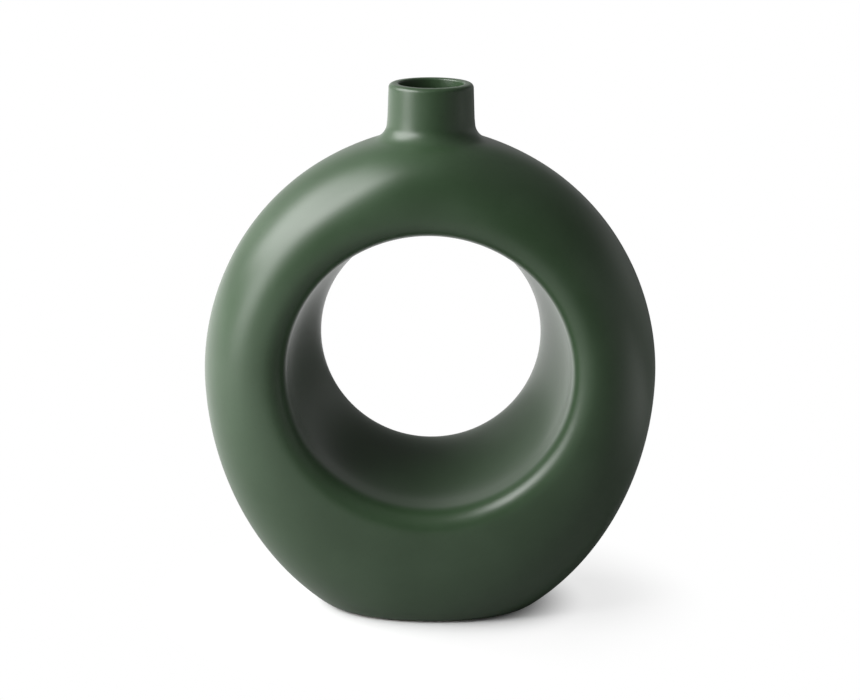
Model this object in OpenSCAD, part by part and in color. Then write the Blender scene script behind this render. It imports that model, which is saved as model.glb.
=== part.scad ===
// Ring vase: an oval clay ring with a wide through-hole, a short round neck and a flat oval foot.
// Units are millimetres. X is the width, Y the depth (the front looks to -Y) and Z is up.
// The origin is the middle of the foot, on the surface that the vase stands on.

/* [Ring] */
// Width of the ring over both sides
body_w = 240; // [200:1:280]
// Depth of the ring from front to back
body_d = 88; // [76:1:110]
// Height of the ring's crown above the table, without the neck
crown_h = 262.6; // [250:0.2:300]
// Height at which the ring is widest
widest_h = 132.4; // [125:0.2:140]
// How far below the widest level the flanks would meet if the foot were not cut flat
flank_reach = 150.8; // [146:0.2:165]
// Exponent of the outline: 2 is an ellipse, less is leaner
outline_exp_share = 1.97; // [1.9:0.01:2.1]
// Exponent of the tube's bulge at the flanks: 2 is an ellipse, more is squarer
bulge_exp_share = 2; // [1.9:0.05:2.3]
// Exponent of the tube's bulge at the crown, where the top is broad and level for the neck
crown_exp_share = 3.2; // [2.4:0.1:3.6]
// Exponent of the tube's bulge at the foot, where the bottom is broader to stand on
foot_exp_share = 2.25; // [2:0.05:2.6]
// Thickness of the clay wall
wall = 5; // [4:0.5:6]

/* [Through-hole] */
// Height of the middle of the hole above the table
hole_h = 143.7; // [140:0.5:150]
// Radius, along X, of the ring on which the front and back faces stand out furthest
face_r = 79.2; // [74:0.2:84]
// How much taller than wide the hole is
hole_oval_share = 1.03; // [1:0.01:1.06]
// Radius of the soft ridge between a face and the throat
ridge_r = 7.5; // [6.5:0.5:9]
// Radius, along X, of the narrow back end of the throat
throat_back_r = 61.2; // [56:0.2:66]
// Share of the throat's length that stays wide before it draws in
throat_hold_share = 0.25; // [0:0.05:0.4]

/* [Neck] */
// Height of the lip above the table
lip_h = 287.4; // [280:0.2:310]
// Outer radius of the neck under the lip
neck_r = 21.6; // [19:0.1:24]
// How much wider the neck is at its root
neck_flare = 0.9; // [0:0.1:1.4]
// Radius of the mouth
mouth_r = 16.5; // [13:0.1:17]
// Radius of the clay fillet that blends the neck into the crown
root_r = 7; // [4:0.5:8]
// Gap left for slip between the neck's flange and the opening it sits in
slip_gap = 0.15; // [0.1:0.05:0.3]
// How much narrower the seat is under the clay than on top, so that the collar can't drop through
seat_taper = 1.5; // [0.5:0.1:2.5]

/* [Foot] */
// Half-width of the soft edge between the flanks and the foot
foot_edge = 4; // [2:0.5:6]
// Length of the foot plate along X
plate_w = 90; // [80:1:96]
// Depth of the foot plate along Y
plate_d = 38; // [30:1:42]
// How far the underside of the plate is set up from the table
foot_recess = 1.5; // [1:0.25:2]
// Exponent of the plate's outline
plate_exp_share = 2.4; // [2:0.1:3]

/* [Hidden] */

// Columns round the ring, an even number, so that one lies at the crown
ring_cols = 80;
// Rows across a face, outside and inside
face_rows = 14;
lining_rows = 7;
// Rows round a ridge, outside and inside
ridge_rows = 5;
lining_ridge_rows = 2;
// Rows along the throat
throat_rows = 10;
// Columns and rows of the neck's root fillet
root_cols = 64;
root_rows = 6;
// Columns of the foot plate
plate_cols = 72;
// Halvings in the search for a point of the crown
search_steps = 24;
// Powers of the sine with which the tube grows squarer towards the crown and the foot
crown_fade_power = 24;
foot_fade_power = 2;
// Turn at which the root fillet meets the neck, just short of upright
fillet_turn = 78;
// Shares of the lip's thickness that its outer and inner roundings take, the rest being level
lip_out_share = 0.44;
lip_in_share = 0.2;
// Facets of the exact round surfaces
round_fn = 96;

// Half sizes
half_w = body_w / 2;
half_d = body_d / 2;
half_d_in = half_d - wall;
// Plane at which a ridge ends and the throat begins, measured from the middle
joint_y = half_d - ridge_r;
// Radius, along X, of the throat's front end
throat_front_r = face_r - ridge_r;
// The back face carries its ridge on a smaller ring
back_face_r = throat_back_r + ridge_r;
// Overrun of the cuts
over = wall;
// Radius of the flange that the root fillet ends on
flange_r = neck_r + neck_flare + root_r;
// The fillet's inner edge lies inside the neck's wall
root_in_r = (neck_r + mouth_r) / 2;
// The neck reaches this far below the clay of the crown
neck_tail = wall / 2;
neck_base_h = crown_h - 2 * wall - neck_tail;
// Roundings of the lip, outside and inside
lip_out_r = (neck_r - mouth_r) * lip_out_share;
lip_in_r = (neck_r - mouth_r) * lip_in_share;

// Power of a signed value that keeps its sign
function signed_pow(value, exponent) = sign(value) * pow(abs(value), exponent);

// Height after the foot has been pressed flat at level, with a soft edge of half-width foot_edge
function pressed(z, level) =
    let (rise = z - level)
    rise <= -foot_edge ? level
    : rise >= foot_edge ? z
    : level + pow(rise + foot_edge, 2) / (4 * foot_edge);

// Outline of the ring seen from the front, drawn in by inset
function outline_x(a, inset) = (half_w - inset) * signed_pow(cos(a), 2 / outline_exp_share);
function outline_z(a, inset) =
    widest_h + ((sin(a) > 0 ? crown_h - widest_h : flank_reach) - inset)
        * signed_pow(sin(a), 2 / outline_exp_share);

// A point of a hole ring of radius r
function hole_x(a, r) = r * cos(a);
function hole_z(a, r) = hole_h + hole_oval_share * r * sin(a);

// The bulge is squarer towards the crown and, less so, towards the foot
function bulge_exp(a) =
    bulge_exp_share
    + (crown_exp_share - bulge_exp_share) * pow(max(0, sin(a)), crown_fade_power)
    + (foot_exp_share - bulge_exp_share) * pow(max(0, -sin(a)), foot_fade_power);

// Shares of the face's width and of the half depth that a row has reached: t runs from 0 at the
// foremost ring to 90 at the outline
function bulge_out(a, t) = pow(sin(t), 2 / bulge_exp(a));
function bulge_fwd(a, t) = t >= 90 ? 0 : pow(cos(t), 2 / bulge_exp(a));

// One row of points round the ring on a face, with its foremost ring of radius r at depth d
function face_row(t, r, d, inset, level) = [
    for (i = [0 : ring_cols - 1])
    let (a = 360 * i / ring_cols, u = bulge_out(a, t))
    [
        hole_x(a, r) + (outline_x(a, inset) - hole_x(a, r)) * u,
        d * bulge_fwd(a, t),
        pressed(hole_z(a, r) + (outline_z(a, inset) - hole_z(a, r)) * u, level)
    ]
];

// One row of points round the ring on a ridge of radius s about the joint plane
function ridge_row(turn, r, s) = [
    for (i = [0 : ring_cols - 1])
    let (a = 360 * i / ring_cols, radius = r - s * cos(turn))
    [hole_x(a, radius), joint_y + s * sin(turn), hole_z(a, radius)]
];

// Faces of a closed tube of rows: the last row joins the first
function tube_faces(rows, cols) = [
    for (j = [0 : rows - 1], i = [0 : cols - 1])
    let (
        k = (j + 1) % rows,
        l = (i + 1) % cols,
        p = j * cols + i, q = j * cols + l,
        s = k * cols + i, v = k * cols + l
    )
    each [[p, v, q], [p, s, v]]
];

function flatten(rows) = [for (row = rows) each row];

// Rows of a half ring, from the throat joint over the ridge and the face to the seam at the
// middle, and back along the lining
function shell_rows(r) = concat(
    [for (k = [0 : ridge_rows]) ridge_row(90 * k / ridge_rows, r, ridge_r)],
    [for (k = [1 : face_rows]) face_row(90 * k / face_rows, r, half_d, 0, 0)],
    [for (k = [lining_rows : -1 : 1]) face_row(90 * k / lining_rows, r, half_d_in, wall, wall)],
    [for (k = [lining_ridge_rows : -1 : 0])
        ridge_row(90 * k / lining_ridge_rows, r, ridge_r - wall)]
);

// Half ring that bulges to +Y, with its foremost ring of radius r
module half_ring(r) {
    rows = shell_rows(r);
    polyhedron(points = flatten(rows), faces = tube_faces(len(rows), ring_cols), convexity = 8);
}

// Plug-shaped space of the bevelled seat, from top_h down to base_h
module seat_space(base_h, top_h) {
    rows = [for (z = [top_h, base_h])
        [for (i = [0 : root_cols - 1]) seat_point(360 * i / root_cols, z, slip_gap)]];
    polyhedron(
        points = flatten(rows),
        faces = concat(
            [for (i = [0 : root_cols - 1])
                let (l = (i + 1) % root_cols)
                each [[i, l, root_cols + l], [i, root_cols + l, root_cols + i]]],
            [[for (i = [root_cols - 1 : -1 : 0]) i], [for (i = [0 : root_cols - 1]) root_cols + i]]
        )
    );
}

// What both shells leave open: the seat of the neck's flange and that of the foot plate
module shell_openings() {
    seat_space(neck_base_h - over, crown_h + over);
    translate([0, 0, -over])
        linear_extrude(height = 2 * over + wall)
            polygon(plate_outline(0));
}

// Throat radius at share s of its length, counted from the front
function throat_draw(s) =
    let (k = max(0, (s - throat_hold_share) / (1 - throat_hold_share)))
    1 - k * k * (3 - 2 * k);
function throat_r(s) = throat_back_r + (throat_front_r - throat_back_r) * throat_draw(s);

// One row of points round the throat at share s of its length
function throat_row(s, skin) = [
    for (i = [0 : ring_cols - 1])
    let (a = 360 * i / ring_cols, radius = throat_r(s) + skin)
    [hole_x(a, radius), joint_y * (2 * s - 1), hole_z(a, radius)]
];

// Outline of the foot plate, drawn in by gap
function plate_outline(gap) = [
    for (i = [0 : plate_cols - 1])
    let (a = 360 * i / plate_cols)
    [
        (plate_w / 2 - gap) * signed_pow(cos(a), 2 / plate_exp_share),
        (plate_d / 2 - gap) * signed_pow(sin(a), 2 / plate_exp_share)
    ]
];

// Height of the crown above the plan point x, y
function crown_u(y, a) = pow(1 - pow(min(1, abs(y) / half_d), bulge_exp(a)), 1 / bulge_exp(a));
function crown_x(y, a, r) = hole_x(a, r) + (outline_x(a, 0) - hole_x(a, r)) * crown_u(y, a);
function crown_z(y, a, r) = hole_z(a, r) + (outline_z(a, 0) - hole_z(a, r)) * crown_u(y, a);
function crown_angle(x, y, r, low, high, steps) =
    let (mid = (low + high) / 2)
    steps == 0 ? mid
    : crown_x(y, mid, r) > x ? crown_angle(x, y, r, mid, high, steps - 1)
    : crown_angle(x, y, r, low, mid, steps - 1);
function crown_top(x, y) =
    let (r = y > 0 ? back_face_r : face_r)
    crown_z(y, crown_angle(abs(x), y, r, 0, 90, search_steps), r);

// Rise of the root fillet at plan radius r
function root_rise(r) =
    let (d = min(root_r, max(0, flange_r - r)))
    root_r - sqrt(root_r * root_r - d * d);

// One row of points round the neck's root, at plan radius r, lifted by lift over the crown
function root_row(r, lift) = [
    for (i = [0 : root_cols - 1])
    let (a = 360 * i / root_cols)
    [r * cos(a), r * sin(a), crown_top(r * cos(a), r * sin(a)) + lift]
];

// Height of the crown at the flange's rim, and a point of the bevelled seat under it, at angle a
// and height z, with a gap to the flange
function rim_h(a) = crown_top(flange_r * cos(a), flange_r * sin(a));
function seat_point(a, z, gap) =
    let (r = flange_r + gap + seat_taper * (z - rim_h(a)) / wall)
    [r * cos(a), r * sin(a), z];

// Underside edge of the flange's rim
function rim_row() = [
    for (i = [0 : root_cols - 1])
    let (a = 360 * i / root_cols)
    seat_point(a, rim_h(a) - wall, 0)
];

// Ring of clay that fills the crown's opening and carries the root fillet
module root_flange() {
    steep_r = flange_r - root_r * sin(fillet_turn);
    rows = concat(
        [for (k = [0 : root_rows])
            let (r = flange_r + (steep_r - flange_r) * sin(90 * k / root_rows))
            root_row(r, root_rise(r))],
        [root_row(root_in_r, root_r), root_row(root_in_r, -wall), rim_row()]
    );
    polyhedron(points = flatten(rows), faces = tube_faces(len(rows), root_cols), convexity = 6);
}

// Quarter of a rounded lip: from angle start to angle stop about centre, with radius r
function lip_arc(centre, r, start, stop) = [
    for (k = [0 : root_rows])
    let (a = start + (stop - start) * k / root_rows)
    [centre[0] + r * cos(a), centre[1] + r * sin(a)]
];

module front_shell() {
    color("#3a4d38")
        difference() {
            mirror([0, 1, 0])
                half_ring(face_r);
            shell_openings();
        }
}

module back_shell() {
    color("#35472f")
        difference() {
            half_ring(back_face_r);
            shell_openings();
        }
}

module throat_sleeve() {
    rows = concat(
        [for (k = [0 : throat_rows]) throat_row(k / throat_rows, 0)],
        [for (k = [throat_rows : -1 : 0]) throat_row(k / throat_rows, wall)]
    );
    color("#2f402d")
        polyhedron(points = flatten(rows), faces = tube_faces(len(rows), ring_cols), convexity = 6);
}

module neck_collar() {
    color("#41553e") {
        root_flange();
        rotate_extrude($fn = round_fn)
            polygon(concat(
                [[mouth_r, neck_base_h], [neck_r + neck_flare, neck_base_h],
                 [neck_r + neck_flare, crown_h]],
                lip_arc([neck_r - lip_out_r, lip_h - lip_out_r], lip_out_r, 0, 90),
                lip_arc([mouth_r + lip_in_r, lip_h - lip_in_r], lip_in_r, 90, 180)
            ));
    }
}

module foot_plate() {
    color("#c9bda6")
        translate([0, 0, foot_recess])
            linear_extrude(height = wall)
                polygon(plate_outline(slip_gap));
}

front_shell();
back_shell();
throat_sleeve();
neck_collar();
foot_plate();
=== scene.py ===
# %% [markdown]
# This lesson dresses a ring vase: a hollow oval ring of fired clay with a wide through-hole, a
# short round neck and a flat foot, under one satin dark-green glaze. The construction comes from
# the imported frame, in metres, with the front looking to -Y and Z up. The glaze runs over every
# joint of the clay, so the visible body is one seamless skin that stands for four clay pieces,
# and the bare plate under the foot stays as it was built.

# %% Load the frame
import math

import bmesh
import bpy
import numpy as np
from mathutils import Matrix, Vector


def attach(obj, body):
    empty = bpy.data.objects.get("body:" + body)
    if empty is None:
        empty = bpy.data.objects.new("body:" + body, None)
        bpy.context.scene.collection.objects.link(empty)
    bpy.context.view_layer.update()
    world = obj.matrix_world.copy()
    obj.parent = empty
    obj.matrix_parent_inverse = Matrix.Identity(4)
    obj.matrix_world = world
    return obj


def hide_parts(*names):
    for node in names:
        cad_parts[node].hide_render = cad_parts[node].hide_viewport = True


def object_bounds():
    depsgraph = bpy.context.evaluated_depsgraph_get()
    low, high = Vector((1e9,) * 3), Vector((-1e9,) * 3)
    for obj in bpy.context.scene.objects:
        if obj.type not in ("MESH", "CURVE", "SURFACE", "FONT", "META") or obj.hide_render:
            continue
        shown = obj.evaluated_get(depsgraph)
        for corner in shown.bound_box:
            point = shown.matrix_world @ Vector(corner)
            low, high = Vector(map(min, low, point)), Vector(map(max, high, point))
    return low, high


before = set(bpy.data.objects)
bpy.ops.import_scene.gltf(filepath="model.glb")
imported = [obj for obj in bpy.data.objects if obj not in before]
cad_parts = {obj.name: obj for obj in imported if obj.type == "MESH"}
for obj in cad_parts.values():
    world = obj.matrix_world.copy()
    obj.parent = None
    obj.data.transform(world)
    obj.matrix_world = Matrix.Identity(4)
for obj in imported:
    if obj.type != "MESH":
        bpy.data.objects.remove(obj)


def corners(box):
    return [[round(float(value), 6) for value in corner] for corner in box]


cad_box = corners(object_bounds())
low, high = cad_box
print("frame box:", cad_box)

# %% [markdown]
# A potter would give the ring by a few sizes, and so does this cell. Width, depth and height
# are read from the frame. The rest are the ring's own sizes: how high it is widest, how the
# outline and the tube bulge, and how the throat narrows to the back. The hole has a size in
# front and one behind, because a potter smooths the front ridge more than the hidden one.

# %% Sizes of the ring, in metres
mm = 0.001
half_w = (high[0] - low[0]) / 2
half_d = (high[1] - low[1]) / 2
lip_z = high[2]
crown_z = 262.6 * mm
widest_z = 132.4 * mm
flank_reach = 150.8 * mm
wall = 5 * mm
hole_z = {"front": 142.4 * mm, "back": 143.7 * mm}
hole_oval = {"front": 1.005, "back": 1.02}
ridge_r = {"front": 11 * mm, "back": 7.5 * mm}
throat_r = {"front": 73.5 * mm, "back": 60.8 * mm}
throat_hold = 0.14
foot_edge = 4 * mm
outline_exponent = 1.97
flank_bulge = 2.0
crown_bulge = 3.2
foot_bulge = 2.25
crown_fade = 24
foot_fade = 2
face_r = {side: throat_r[side] + ridge_r[side] for side in throat_r}
forward = {"front": -1, "back": 1}
behind = {"front": 0, "back": 1}
weld = mm / 1000
print("ring", round(2 * half_w, 3), "x", round(2 * half_d, 3), "m, lip at", round(lip_z, 4))

# %% [markdown]
# The body is a tube bent into a ring, but its section changes all the way round: broad and
# level under the neck, slim at the flanks, deep over the foot. A torus primitive has the right
# weave of faces, and no operator gives that changing section, so the torus is made first and
# every vertex then goes where the ring's own law puts it. The law is written as small functions:
# the outline, the bulge of a face, the soft ridge round the hole, and the throat.


# %% The law of the ring
def signed_power(value, exponent):
    return np.sign(value) * np.abs(value) ** exponent


def pressed(z, level):
    """Height after the soft clay was pressed flat at level."""
    rise = z - level
    soft = level + (rise + foot_edge) ** 2 / (4 * foot_edge)
    return np.where(rise <= -foot_edge, level, np.where(rise >= foot_edge, z, soft))


def outline(a, inset):
    """X and Z of the ring's outline at angle a, drawn in by inset."""
    reach = np.where(np.sin(a) > 0, crown_z - widest_z, flank_reach) - inset
    x = (half_w - inset) * signed_power(np.cos(a), 2 / outline_exponent)
    return x, widest_z + reach * signed_power(np.sin(a), 2 / outline_exponent)


def between(value, share):
    """A size of the hole, from its front value at share 0 to its back value at share 1."""
    return value["front"] + (value["back"] - value["front"]) * share


def hole(a, radius, share):
    """X and Z of a ring of the hole at angle a; share is 0 in front and 1 behind."""
    rise = between(hole_oval, share) * radius * np.sin(a)
    return radius * np.cos(a), between(hole_z, share) + rise


def bulge(a):
    """Exponent of the tube's bulge: squarer towards the crown and, less so, the foot."""
    to_crown = np.maximum(0, np.sin(a)) ** crown_fade
    to_foot = np.maximum(0, -np.sin(a)) ** foot_fade
    return (flank_bulge + (crown_bulge - flank_bulge) * to_crown
            + (foot_bulge - flank_bulge) * to_foot)


print("lowest clay before it is pressed flat:", round(widest_z - flank_reach, 4))


# %% Stretches of the tube's section
def face(a, t, side, skin):
    """A face of the ring: t runs from 0 at its foremost ring to 1 at the outline."""
    turn = t * math.pi / 2
    out = np.sin(turn) ** (2 / bulge(a))
    fore = np.abs(np.cos(turn)) ** (2 / bulge(a))
    inner_x, inner_z = hole(a, face_r[side], behind[side])
    outer_x, outer_z = outline(a, skin)
    x = inner_x + (outer_x - inner_x) * out
    z = pressed(inner_z + (outer_z - inner_z) * out, skin)
    return np.stack([x, forward[side] * (half_d - skin) * fore, z], axis=-1)


def ridge(a, t, side, skin):
    """The soft ridge: t runs from 0 at the throat to 1 at the foremost ring."""
    turn = t * math.pi / 2
    radius = face_r[side] - (ridge_r[side] - skin) * np.cos(turn)
    x, z = hole(a, radius, behind[side])
    y = forward[side] * (half_d - ridge_r[side] + (ridge_r[side] - skin) * np.sin(turn))
    return np.stack([x, y + 0 * x, z], axis=-1)


def throat(a, t, side, skin):
    """The throat: t runs from 0 at the front to 1 at the back; side isn't used here."""
    late = np.maximum(0, (t - throat_hold) / (1 - throat_hold))
    drawn = late * late * (3 - 2 * late)
    x, z = hole(a, skin + between(throat_r, drawn), drawn)
    y = (half_d - ridge_r["front"]) * (t - 1) + (half_d - ridge_r["back"]) * t
    return np.stack([x, y + 0 * x, z], axis=-1)


print("the throat narrows by", round(throat_r["front"] - throat_r["back"], 4), "m")

# %% [markdown]
# Evenly spaced rows shade best. Each stretch is therefore walked once in fine steps, and its
# rows are put where they cut the clay into equal lengths, column by column.

# %% Rows of the tube
ring_cols = 256
face_rows = 28
ridge_rows = 7
throat_rows = 26
tube_rows = 2 * face_rows + 2 * ridge_rows + throat_rows
fine_steps = 300
columns = np.arange(ring_cols) * 2 * math.pi / ring_cols


def even_rows(stretch, start, stop, count, side, skin):
    """Rows of points along a stretch, without its last one, at equal steps over the clay."""
    fine = np.linspace(start, stop, fine_steps)
    points = stretch(columns[None, :], fine[:, None], side, skin)
    steps = np.linalg.norm(np.diff(points, axis=0), axis=2)
    reach = np.vstack([np.zeros(ring_cols), np.cumsum(steps, axis=0)])
    marks = np.arange(count) / count
    places = [np.interp(marks * column[-1], column, fine) for column in reach.T]
    return stretch(columns[None, :], np.array(places).T, side, skin)


def ring_rows(skin):
    """All rows of the tube, from the seam at the outline over the front, round to the back."""
    return np.concatenate([
        even_rows(face, 1, 0, face_rows, "front", skin),
        even_rows(ridge, 1, 0, ridge_rows, "front", skin),
        even_rows(throat, 0, 1, throat_rows, "front", skin),
        even_rows(ridge, 0, 1, ridge_rows, "back", skin),
        even_rows(face, 0, 1, face_rows, "back", skin),
    ])


print("rows", tube_rows, "columns", ring_cols)

# %% [markdown]
# The neck stands in a gate in the crown. On the plain torus the gate is easy to pick by place:
# the faces near the crown's angle and near the outline. They are deleted before the torus is
# shaped, so that the gate's edge keeps one vertex for every vertex of the neck.

# %% Make a shaped ring with its gate open
gate_half_cols = 15
gate_half_rows = 16
plain_r = 1.0
plain_tube = 0.4


def deselect_all():
    if bpy.context.object and bpy.context.object.mode == "EDIT":
        bpy.ops.mesh.select_all(action="DESELECT")
    else:
        bpy.ops.object.select_all(action="DESELECT")


def tube_angles(x, y, z):
    """The two angles of a point on the plain torus, from 0 to a full turn."""
    around = np.arctan2(y, x) % (2 * math.pi)
    section = np.arctan2(z, np.hypot(x, y) - plain_r) % (2 * math.pi)
    return around, section


def open_gate(piece):
    """Deletes the plain torus's faces under the neck."""
    bpy.ops.object.mode_set(mode="EDIT")
    deselect_all()
    mesh = bmesh.from_edit_mesh(piece.data)
    around_limit = gate_half_cols * 2 * math.pi / ring_cols
    section_limit = gate_half_rows * 2 * math.pi / tube_rows
    for f in mesh.faces:
        around, section = tube_angles(*f.calc_center_median())
        section = min(section, 2 * math.pi - section)
        near = abs(around - math.pi / 2) < around_limit and section < section_limit
        f.select_set(bool(near))
    bmesh.update_edit_mesh(piece.data)
    bpy.ops.mesh.delete(type="FACE")
    bpy.ops.object.mode_set(mode="OBJECT")


def shaped_ring(name, skin):
    """A torus with an open gate, every vertex moved to its place on the ring."""
    deselect_all()
    bpy.ops.mesh.primitive_torus_add(
        major_segments=ring_cols, minor_segments=tube_rows,
        major_radius=plain_r, minor_radius=plain_tube)
    piece = bpy.context.object
    piece.name = name
    open_gate(piece)
    count = len(piece.data.vertices)
    places = np.empty(3 * count)
    piece.data.vertices.foreach_get("co", places)
    around, section = tube_angles(*places.reshape(-1, 3).T)
    column = np.rint(around * ring_cols / (2 * math.pi)).astype(int) % ring_cols
    row = np.rint(section * tube_rows / (2 * math.pi)).astype(int) % tube_rows
    piece.data.vertices.foreach_set("co", ring_rows(skin)[row, column].ravel())
    piece.data.update()
    return piece


glazed_body = shaped_ring("glazed_body", 0)
print("outer skin:", len(glazed_body.data.polygons), "faces")

# %% [markdown]
# The neck grows out of the gate. The open edge is extruded again and again, as one would by
# hand with E, and after each extrusion the new loop is put in place: first over the crown down
# to a circle, then up the root fillet, up the slightly tapered neck, over the rounded lip and
# down the bore. Heights on the crown come from the same law as the ring.

# %% The crown's height over a point
search_steps = 40


def crown_height(x, y, skin):
    """Height of the clay over plan points near the neck, found by halving."""
    far = np.abs(y) / (half_d - skin)
    share_back = np.where(y > 0, 1, 0)
    ring_r = between(face_r, share_back)
    low_a = np.zeros_like(x)
    high_a = np.full_like(x, math.pi / 2)
    for _ in range(search_steps):
        mid = (low_a + high_a) / 2
        share = (1 - far ** bulge(mid)) ** (1 / bulge(mid))
        hole_x, hole_height = hole(mid, ring_r, share_back)
        edge_x, edge_z = outline(mid, skin)
        past = hole_x + (edge_x - hole_x) * share > np.abs(x)
        low_a = np.where(past, mid, low_a)
        high_a = np.where(past, high_a, mid)
    return hole_height + (edge_z - hole_height) * share


print("crown", round(float(crown_height(np.zeros(1), np.zeros(1), 0)[0]), 5))

# %% Sizes of the neck
neck_r = 21.6 * mm
neck_flare = 0.9 * mm
mouth_r = 16.5 * mm
root_r = 7 * mm
neck_tail_z = 250.1 * mm
tail_round = 1 * mm
lip_out_share = 0.44
lip_in_share = 0.2
lip_out = (neck_r - mouth_r) * lip_out_share
lip_in = (neck_r - mouth_r) * lip_in_share
flange_r = neck_r + neck_flare + root_r
crown_loops = 5
root_loops = 8
neck_loops = 7
lip_loops = 6
bore_loops = 9
print("mouth", round(2 * mouth_r, 4), "m wide in a neck of", round(2 * neck_r, 4), "m")


# %% Loops of the neck
def in_order(mesh):
    """The selected loop's vertices, in order round the neck."""
    loop = [v for v in mesh.verts if v.select]
    nudge = math.pi / len(loop)
    return sorted(loop, key=lambda v: (math.atan2(v.co.y, v.co.x) + nudge) % (2 * math.pi))


def select_gate(piece):
    """Selects the open edge of the gate and returns its places, in order round the neck."""
    bpy.context.view_layer.objects.active = piece
    bpy.ops.object.mode_set(mode="EDIT")
    bpy.ops.mesh.select_mode(type="VERT")
    deselect_all()
    bpy.ops.mesh.select_non_manifold(extend=False)
    mesh = bmesh.from_edit_mesh(piece.data)
    return np.array([v.co[:] for v in in_order(mesh)])


def grow_loop(piece, places):
    """Extrudes the open loop and puts the new one in place."""
    bpy.ops.mesh.extrude_region_move()
    mesh = bmesh.from_edit_mesh(piece.data)
    for vertex, place in zip(in_order(mesh), places):
        vertex.co = place
    bmesh.update_edit_mesh(piece.data)


def circle(radius, height, turns):
    """A ring of points round the neck's axis; radius and height may change round it."""
    x = radius * np.cos(turns)
    y = radius * np.sin(turns)
    return np.stack([x, y, height + 0 * x], axis=-1)


def crown_circle(radius, turns, lift, skin):
    """A ring of points that follows the crown, lifted off it by lift."""
    x, y = radius * np.cos(turns), radius * np.sin(turns)
    return np.stack([x, y, crown_height(x, y, skin) + lift], axis=-1)


def gate_to_circle(gate, radius, turns, skin):
    """Loops over the crown's clay from the gate to a circle, without the gate itself."""
    plan = circle(radius, 0, turns)
    loops = []
    for share in np.arange(1, crown_loops + 1) / crown_loops:
        x, y, _ = (gate + (plan - gate) * share).T
        loops.append(np.stack([x, y, crown_height(x, y, skin)], axis=-1))
    return loops


# %% Grow the neck out of the gate
def neck_radius(z):
    """Outer radius of the neck, which tapers a little from the crown to the lip."""
    rise = (z - crown_z) / (lip_z - lip_out - crown_z)
    return neck_r + neck_flare * (1 - np.clip(rise, 0, 1))


gate = select_gate(glazed_body)
turns = np.arange(len(gate)) * 2 * math.pi / len(gate)
for places in gate_to_circle(gate, flange_r, turns, 0):
    grow_loop(glazed_body, places)
for turn in np.arange(1, root_loops + 1) / root_loops * math.pi / 2:
    radius = flange_r - root_r * math.sin(turn)
    lift = root_r * (1 - math.cos(turn))
    grow_loop(glazed_body, crown_circle(radius, turns, lift, 0))
root_top = crown_circle(neck_r + neck_flare, turns, root_r, 0)[:, 2]
for share in np.arange(1, neck_loops + 1) / neck_loops:
    height = root_top + (lip_z - lip_out - root_top) * share
    grow_loop(glazed_body, circle(neck_radius(height), height, turns))
print("neck grown from", len(gate), "gate vertices")

# %% Round the lip and go down the bore
for turn in np.arange(1, lip_loops + 1) / lip_loops * math.pi / 2:
    radius = neck_r - lip_out * (1 - math.cos(turn))
    grow_loop(glazed_body, circle(radius, lip_z - lip_out * (1 - math.sin(turn)), turns))
for turn in np.arange(lip_loops + 1) / lip_loops * math.pi / 2:
    radius = mouth_r + lip_in * (1 - math.sin(turn))
    grow_loop(glazed_body, circle(radius, lip_z - lip_in * (1 - math.cos(turn)), turns))
bore_top = lip_z - lip_in
bore_end = neck_tail_z + tail_round
for share in np.arange(1, bore_loops + 1) / bore_loops:
    grow_loop(glazed_body, circle(mouth_r, bore_top + (bore_end - bore_top) * share, turns))
bpy.ops.object.mode_set(mode="OBJECT")
print("lip and bore:", len(glazed_body.data.polygons), "faces")

# %% [markdown]
# The vase is hollow, so the skin needs its inner side. The lining is a second ring by the same
# law, set in by the wall's thickness. The bore turns round its tail under the crown, runs out
# over the lining and ends exactly on the lining's gate, where merging by distance closes the
# clay into one watertight wall. The lining's faces are turned over to look at the hollow.

# %% Make the lining and close the wall
lining = shaped_ring("lining", wall)
lining_gate = select_gate(lining)
bpy.ops.mesh.select_all(action="SELECT")
bpy.ops.mesh.flip_normals()
bpy.ops.object.mode_set(mode="OBJECT")

select_gate(glazed_body)
tail_r = neck_r + neck_flare
grow_loop(glazed_body, circle(mouth_r + tail_round, neck_tail_z, turns))
grow_loop(glazed_body, circle(tail_r - tail_round, neck_tail_z, turns))
grow_loop(glazed_body, circle(tail_r, bore_end, turns))
grow_loop(glazed_body, crown_circle(tail_r, turns, 0, wall))
for places in reversed(gate_to_circle(lining_gate, tail_r, turns, wall)[:-1]):
    grow_loop(glazed_body, places)
grow_loop(glazed_body, lining_gate)
bpy.ops.object.mode_set(mode="OBJECT")

deselect_all()
lining.select_set(True)
glazed_body.select_set(True)
bpy.context.view_layer.objects.active = glazed_body
bpy.ops.object.join()
bpy.ops.object.mode_set(mode="EDIT")
bpy.ops.mesh.select_all(action="SELECT")
bpy.ops.mesh.remove_doubles(threshold=weld)
deselect_all()
bpy.ops.mesh.select_non_manifold()
open_left = sum(v.select for v in bmesh.from_edit_mesh(glazed_body.data).verts)
bpy.ops.object.mode_set(mode="OBJECT")
print("closed wall:", len(glazed_body.data.polygons), "faces, open vertices", open_left)

# %% [markdown]
# Underneath, the clay leaves an oval opening for the foot plate, which sits a little up from
# the table. Both sides of the wall are flat there, so a cutter of the plate's outline and a
# Boolean modifier make the cut. It leaves a few faces without area along its edge, which lies
# hidden under the vase and stays as cut.

# %% Cut the seat of the foot plate
plate_half_w = 45 * mm
plate_half_d = 19 * mm
plate_exponent = 2.4
plate_cols = 96
cut_over = 5 * mm

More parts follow.
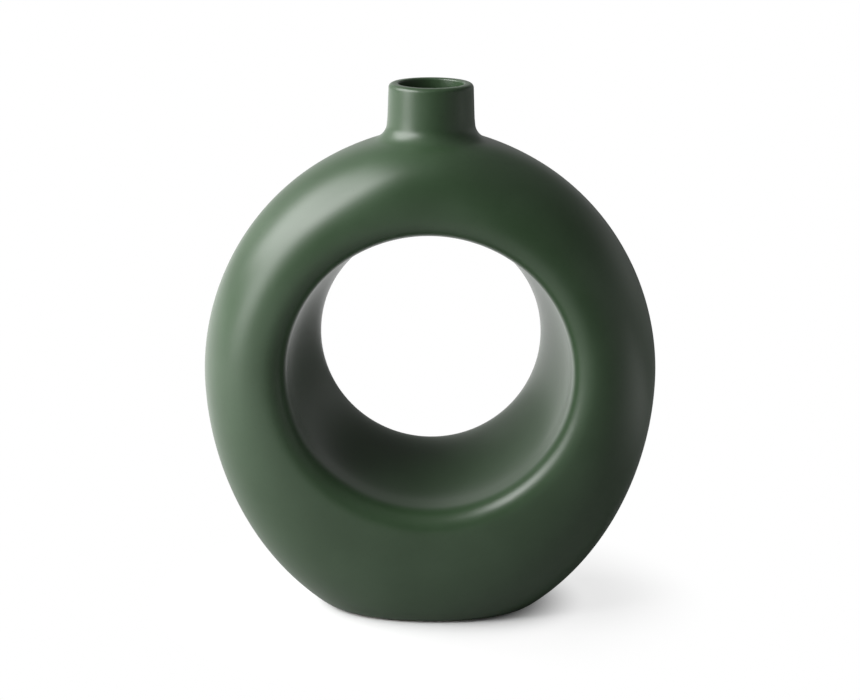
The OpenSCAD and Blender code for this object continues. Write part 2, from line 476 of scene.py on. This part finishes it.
deselect_all()
bpy.ops.mesh.primitive_circle_add(vertices=plate_cols, radius=1, fill_type="NGON")
cutter = bpy.context.object
for vertex in cutter.data.vertices:
    turn = math.atan2(vertex.co.y, vertex.co.x)
    x, y = (float(signed_power(f(turn), 2 / plate_exponent)) for f in (math.cos, math.sin))
    vertex.co = (plate_half_w * x, plate_half_d * y, -cut_over)
bpy.ops.object.mode_set(mode="EDIT")
bpy.ops.mesh.select_all(action="SELECT")
bpy.ops.mesh.extrude_region_move(
    TRANSFORM_OT_translate={"value": (0, 0, 2 * cut_over + wall)})
bpy.ops.mesh.select_all(action="SELECT")
bpy.ops.mesh.normals_make_consistent(inside=False)
bpy.ops.object.mode_set(mode="OBJECT")

deselect_all()
glazed_body.select_set(True)
bpy.context.view_layer.objects.active = glazed_body
cut = glazed_body.modifiers.new("plate_seat", "BOOLEAN")
cut.operation = "DIFFERENCE"
cut.object = cutter
bpy.ops.object.modifier_apply(modifier=cut.name)
bpy.data.objects.remove(cutter)
print("with the plate's seat:", len(glazed_body.data.polygons), "faces")

# %% Smooth shading and its place in the frame
smooth_limit = math.radians(40)
bpy.ops.object.shade_smooth_by_angle(angle=smooth_limit)
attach(glazed_body, "root")
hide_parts("front_shell", "back_shell", "throat_sleeve", "neck_collar")

# %% [markdown]
# Materials are written as formulas. A small class wraps a socket, so that noise and masks can
# be added and multiplied like numbers, and every operator leaves a Math node behind.


# %% A socket that can be reckoned with
class Wire:
    """One output of a node tree, with arithmetic."""

    def __init__(self, tree, socket):
        self.tree = tree
        self.socket = socket

    def math(self, operation, *others, clamp=False):
        node = self.tree.nodes.new("ShaderNodeMath")
        node.operation = operation
        node.use_clamp = clamp
        for slot, value in zip(node.inputs, (self, *others)):
            plug(self.tree, slot, value)
        return Wire(self.tree, node.outputs[0])

    def __add__(self, other):
        return self.math("ADD", other)

    def __mul__(self, other):
        return self.math("MULTIPLY", other)

    def __sub__(self, other):
        return self.math("SUBTRACT", other)

    def __rsub__(self, other):
        return (self * -1.0) + other

    __radd__ = __add__
    __rmul__ = __mul__

    def ramp(self, start, stop):
        """0 before start, 1 after stop, smooth between."""
        node = self.tree.nodes.new("ShaderNodeMapRange")
        node.interpolation_type = "SMOOTHSTEP"
        plug(self.tree, node.inputs["Value"], self)
        node.inputs["From Min"].default_value = start
        node.inputs["From Max"].default_value = stop
        return Wire(self.tree, node.outputs["Result"])


def plug(tree, slot, value):
    """Links a Wire to an input, or sets a plain value on it."""
    if isinstance(value, Wire):
        tree.links.new(value.socket, slot)
    else:
        slot.default_value = value


class Finish:
    """A material's node tree with short calls for what a finish needs."""

    def __init__(self, name):
        self.material = bpy.data.materials.new(name)
        self.material.use_nodes = True
        self.tree = self.material.node_tree
        self.shader = self.tree.nodes["Principled BSDF"]
        self.place = self.node("ShaderNodeTexCoord", {}, "Object")

    def node(self, kind, settings, output, **inputs):
        made = self.tree.nodes.new(kind)
        for key, value in settings.items():
            setattr(made, key, value)
        for key, value in inputs.items():
            plug(self.tree, made.inputs[key.replace("_", " ")], value)
        return Wire(self.tree, made.outputs[output])

    def noise(self, scale, detail=2.0):
        return self.node("ShaderNodeTexNoise", {}, "Fac", Vector=self.place,
                         Scale=scale, Detail=detail)

    def blend(self, share, first, second):
        """Mixes two colours by share."""
        mix = self.tree.nodes.new("ShaderNodeMix")
        mix.data_type = "RGBA"
        plug(self.tree, mix.inputs["Factor"], share)
        plug(self.tree, mix.inputs["A"], first)
        plug(self.tree, mix.inputs["B"], second)
        return Wire(self.tree, mix.outputs["Result"])

    def bump(self, height, depth, strength=1.0):
        """Raises the surface by height times depth, in metres."""
        made = self.node("ShaderNodeBump", {}, "Normal", Height=height,
                         Distance=depth, Strength=strength)
        plug(self.tree, self.shader.inputs["Normal"], made)

    def set(self, name, value):
        plug(self.tree, self.shader.inputs[name], value)


# %% [markdown]
# The glaze is a deep green that breaks very slightly: a touch paler where it ran thin and a
# touch darker where it pooled, with fine dark specks. Its gloss is satin and not quite even,
# and a shallow orange-peel bump keeps the highlight from looking like plastic. On the foot ring
# the glaze is wiped off, so bare clay shows up to about half a millimetre above the table.

# %% Bare clay, shared by the foot ring and the plate
per_metre = {
    "clay clouds": 60.0, "clay specks": 1400.0, "clay dullness": 300.0, "clay tooth": 900.0,
    "glaze clouds": 22.0, "glaze grain": 420.0, "glaze specks": 1100.0, "wiping": 130.0,
    "peel": 260.0, "fine peel": 1900.0}
clay_light = (0.60, 0.52, 0.42, 1.0)
clay_dark = (0.47, 0.39, 0.30, 1.0)
clay_roughness = 0.78
clay_dullness = 0.15
tooth_depth = 0.15 * mm
tooth_strength = 0.6
clay_share = {"clouds": 0.6, "specks": 0.4}
clay_cloud_edges = (0.35, 0.65)
clay_speck_edges = (0.66, 0.72)


def clay_colour(finish):
    """Cream stoneware with faint clouds and iron specks."""
    clouds = finish.noise(per_metre["clay clouds"], detail=4.0).ramp(*clay_cloud_edges)
    specks = finish.noise(per_metre["clay specks"], detail=1.0).ramp(*clay_speck_edges)
    dark = clouds * clay_share["clouds"] + specks * clay_share["specks"]
    return finish.blend(dark, clay_light, clay_dark)


def bare_clay():
    finish = Finish("bare_clay")
    finish.set("Base Color", clay_colour(finish))
    dullness = finish.noise(per_metre["clay dullness"])
    finish.set("Roughness", dullness * clay_dullness + clay_roughness)
    tooth = finish.noise(per_metre["clay tooth"], detail=4.0)
    finish.bump(tooth, tooth_depth, tooth_strength)
    return finish.material


print("patterns, in repeats to the metre:", per_metre)


# %% Satin green glaze
glaze_deep = (0.0235, 0.050, 0.0205, 1.0)
glaze_thin = (0.038, 0.071, 0.035, 1.0)
glaze_speck = (0.014, 0.034, 0.012, 1.0)
glaze_cloud_edges = (0.3, 0.7)
glaze_speck_edges = (0.68, 0.75)
thin_share = {"clouds": 0.55, "grain": 0.3}
speck_share = 0.5
satin_roughness = 0.33
satin_unevenness = {"clouds": 0.06, "grain": 0.04}
wiped_roughness = 0.8
wiped_height = 0.5 * mm
wiped_waver = 0.5 * mm
wiped_blur = 0.1 * mm
peel_share = {"coarse": 0.7, "fine": 0.3}
peel_depth = 0.05 * mm
peel_strength = 0.5


def satin_glaze():
    finish = Finish("satin_glaze")
    clouds = finish.noise(per_metre["glaze clouds"], detail=3.0)
    grain = finish.noise(per_metre["glaze grain"], detail=3.0)
    thin = clouds.ramp(*glaze_cloud_edges) * thin_share["clouds"] + grain * thin_share["grain"]
    colour = finish.blend(thin, glaze_deep, glaze_thin)
    specks = finish.noise(per_metre["glaze specks"], detail=1.0).ramp(*glaze_speck_edges)
    colour = finish.blend(specks * speck_share, colour, glaze_speck)
    height = finish.node("ShaderNodeSeparateXYZ", {}, "Z", Vector=finish.place)
    waver = finish.noise(per_metre["wiping"], detail=3.0) - 0.5
    edge = height + waver * wiped_waver
    glazed = edge.ramp(wiped_height - wiped_blur, wiped_height + wiped_blur)
    finish.set("Base Color", finish.blend(glazed, clay_colour(finish), colour))
    satin = (clouds * satin_unevenness["clouds"] + grain * satin_unevenness["grain"]
             + satin_roughness)
    finish.set("Roughness", glazed * (satin - wiped_roughness) + wiped_roughness)
    peel = (finish.noise(per_metre["peel"], detail=2.0) * peel_share["coarse"]
            + finish.noise(per_metre["fine peel"], detail=1.0) * peel_share["fine"])
    finish.bump(peel, peel_depth, peel_strength)
    return finish.material


def dress(piece, material):
    piece.data.materials.clear()
    piece.data.materials.append(material)


dress(glazed_body, satin_glaze())
dress(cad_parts["foot_plate"], bare_clay())
print("materials:", [m.name for m in bpy.data.materials if m.users])

# %% [markdown]
# The studio is plain: a white floor that keeps a soft shadow, and a white surrounding. A satin
# glaze shows what it reflects, though, and a room that is white all round would leave it flat.
# So the floor and the world are drawn twice, and Light Path tells the two apart. The camera sees
# them white. The glaze sees the paper with painted shade: grey, darkest in a strip on the right,
# with a painted glow on the floor behind the vase, to the left, and a dimmer one at its right
# side. The glow behind is there for the bright band on the right wall of the throat.
# Close to the foot the camera sees the paper as it is lit, and further off it fades to white.

# %% Sizes of the floor
floor_size = 12.0
white = (1.0, 1.0, 1.0, 1.0)
paper_seen = (0.97, 0.97, 0.97, 1.0)
# Painted shade: the grey that the glaze sees in place of the white paper, and the darker grey of
# the strip on the right
shaded_paper = (0.75, 0.75, 0.75, 1.0)
painted_shadow_paper = (0.25, 0.25, 0.25, 1.0)
# Painted glow: the colour with which patches of the floor glow for the glaze
painted_glow = (1.7, 1.7, 1.7, 1.0)
dark_left = (-0.4, 0.3)
dark_right = (0.5, 0.9)
glow_patch_front = (0.05, 0.3)
glow_patch_right_edge = (0.02, 0.1)
side_glow_patch = {"left": (0.2, 0.45), "front": (-0.45, -0.05), "back": (0.05, 0.25), "share": 0.5}
shadow_squeeze = 0.48
shadow_near = {"start": 33 * mm, "stop": 62 * mm, "share": 0.76}
shadow_far = {"start": 65 * mm, "stop": 110 * mm, "share": 0.24}
print("floor:", floor_size, "m; the shadow fades out", shadow_far["stop"], "m from the middle")


# %% Floor
def stage_plane(name, size, place, tilt):
    deselect_all()
    bpy.ops.mesh.primitive_plane_add(size=size, location=place, rotation=tilt)
    plane = bpy.context.object
    plane.name = name
    return plane


def fade(distance, stretch):
    """A part of the shadow's fading, over a stretch of the floor."""
    return distance.ramp(stretch["start"], stretch["stop"]) * stretch["share"]


def floor_finish():
    """Paper that the camera sees white and the glaze sees with painted shade and a painted glow.
    """
    finish = Finish("white_paper")
    finish.set("Roughness", 1.0)
    finish.set("Specular IOR Level", 0.0)
    tree = finish.tree
    glow = tree.nodes.new("ShaderNodeEmission")
    seen = finish.node("ShaderNodeLightPath", {}, "Is Camera Ray")
    x = finish.node("ShaderNodeSeparateXYZ", {}, "X", Vector=finish.place)
    y = finish.node("ShaderNodeSeparateXYZ", {}, "Y", Vector=finish.place)
    # Painted shade: for the glaze the paper is grey, and darker still in a strip on the right,
    # where the vase's shadow falls
    darker = x.ramp(*dark_left) * (1 - x.ramp(*dark_right))
    painted_shade_paper = finish.blend(darker, shaded_paper, painted_shadow_paper)
    # Painted glow: a patch of floor behind the vase to the left, and a dimmer one at its right
    # side, glows for the glaze but not for the camera
    side_glow_mask = (x.ramp(*side_glow_patch["left"]) * y.ramp(*side_glow_patch["front"])
              * (1 - y.ramp(*side_glow_patch["back"])) * side_glow_patch["share"])
    painted_glow_mask = y.ramp(*glow_patch_front) * (1 - x.ramp(*glow_patch_right_edge)) + side_glow_mask
    finish.set("Base Color", finish.blend(seen, painted_shade_paper, paper_seen))
    plug(tree, glow.inputs["Color"], finish.blend(seen, painted_glow, white))
    away = (x * x * shadow_squeeze + y * y).math("SQRT")
    lift = fade(away, shadow_near) + fade(away, shadow_far)
    mix = tree.nodes.new("ShaderNodeMixShader")
    plug(tree, mix.inputs[0], seen * lift + (1 - seen) * painted_glow_mask)
    tree.links.new(finish.shader.outputs[0], mix.inputs[1])
    tree.links.new(glow.outputs[0], mix.inputs[2])
    tree.links.new(mix.outputs[0], tree.nodes["Material Output"].inputs["Surface"])
    return finish.material


floor = stage_plane("floor", floor_size, (0, 0, 0), (0, 0, 0))
dress(floor, floor_finish())
print("floor dressed with", floor.data.materials[0].name)

# %% [markdown]
# The world is white to the camera as well. What it gives the vase is a soft backdrop that is
# brightest behind to the left, a strip right behind, a low glow from the right and a little from
# above. Its direction is read from Generated, which in a world is the way that a ray looks.

# %% World
edge = {"backdrop": (-0.2, 0.6), "backdrop top": (0.3, 0.9), "backdrop right": (-0.25, 0.1),
        "strip": (0.8, 0.97), "right": (0.4, 0.8), "right top": (0.1, 0.5), "above": (0.3, 1.0)}
level = {"backdrop": 0.7, "backdrop drop": 0.6, "strip": 0.35, "right": 0.4, "above": 0.2,
         "all round": 0.05}
world = bpy.data.worlds.new("studio")
bpy.context.scene.world = world
world.use_nodes = True
world_tree = world.node_tree
path = world_tree.nodes.new("ShaderNodeLightPath")
ways = world_tree.nodes.new("ShaderNodeTexCoord")
split = world_tree.nodes.new("ShaderNodeSeparateXYZ")
world_tree.links.new(ways.outputs["Generated"], split.inputs[0])
way_x, way_y, way_z = (Wire(world_tree, split.outputs[axis]) for axis in "XYZ")
background = world_tree.nodes["Background"]
background.inputs["Color"].default_value = white
seen = Wire(world_tree, path.outputs["Is Camera Ray"])
to_left = level["backdrop"] - way_x.ramp(*edge["backdrop right"]) * level["backdrop drop"]
backdrop = way_y.ramp(*edge["backdrop"]) * (1 - way_z.ramp(*edge["backdrop top"])) * to_left
strip = way_y.ramp(*edge["strip"]) * level["strip"]
right = way_x.ramp(*edge["right"]) * (1 - way_z.ramp(*edge["right top"])) * level["right"]
above = way_z.ramp(*edge["above"]) * level["above"]
dim = backdrop + strip + right + above + level["all round"]
plug(world_tree, background.inputs["Strength"], seen * (1 - dim) + dim)
print("world:", world.name, "with", len(world_tree.nodes), "nodes")

# %% [markdown]
# Three soft lamps stand at the left, all at one distance. The key is broad and high, and makes
# the long soft highlight on the shoulder. The fill is small and nearer to the camera, and draws
# the bright line on the front ridge. The low one lifts the flank and the foot.


# %% Lights
lamp_distance = 1.3


def soft_light(name, azimuth, elevation, width, tall, power):
    """An area light that looks at the middle of the vase. Azimuth 0 is the camera's side, and
    it grows to the right."""
    light = bpy.data.lights.new(name, "AREA")
    light.shape = "RECTANGLE"
    light.size = width
    light.size_y = tall
    light.energy = power
    lamp = bpy.data.objects.new(name, light)
    bpy.context.scene.collection.objects.link(lamp)
    az, el = math.radians(azimuth), math.radians(elevation)
    aim = (0, 0, hole_z["back"])
    lamp.location = (
        aim[0] + lamp_distance * math.cos(el) * math.sin(az),
        aim[1] - lamp_distance * math.cos(el) * math.cos(az),
        aim[2] + lamp_distance * math.sin(el))
    lamp.rotation_euler = (math.pi / 2 - el, 0, az)
    return lamp


soft_light("key", azimuth=-80, elevation=37, width=1.15, tall=0.8, power=28.5)
soft_light("fill", azimuth=-50, elevation=38, width=0.3, tall=0.3, power=4)
soft_light("low", azimuth=-66, elevation=8, width=0.6, tall=0.5, power=6)

# %% [markdown]
# The camera stands where the photograph was taken: in front, a little above, with a short
# telephoto lens. It looks down by 18 degrees at the middle of the vase. Its values were fitted
# to the outline, the hole and the neck, and they include a roll of a quarter of a degree.

# %% Camera
pitch = math.radians(17.974)
yaw = math.radians(0.6)
roll = math.radians(0.25)
camera_distance = 0.8523
aim_z = 0.14545
focal_length = 66.98
sensor_width = 36
nearest_seen = 0.01
camera_data = bpy.data.cameras.new("camera")
camera_data.lens = focal_length
camera_data.sensor_width = sensor_width
camera_data.sensor_fit = "HORIZONTAL"
camera_data.clip_start = nearest_seen
camera = bpy.data.objects.new("camera", camera_data)
bpy.context.scene.collection.objects.link(camera)
camera.location = (camera_distance * math.cos(pitch) * math.sin(yaw),
                   -camera_distance * math.cos(pitch) * math.cos(yaw),
                   aim_z + camera_distance * math.sin(pitch))
camera.rotation_euler = (math.pi / 2 - pitch, 0, yaw)
camera.rotation_euler.rotate_axis("Z", roll)
bpy.context.scene.camera = camera
bpy.context.scene.view_settings.view_transform = "Standard"
print("camera at", [round(value, 3) for value in camera.location])
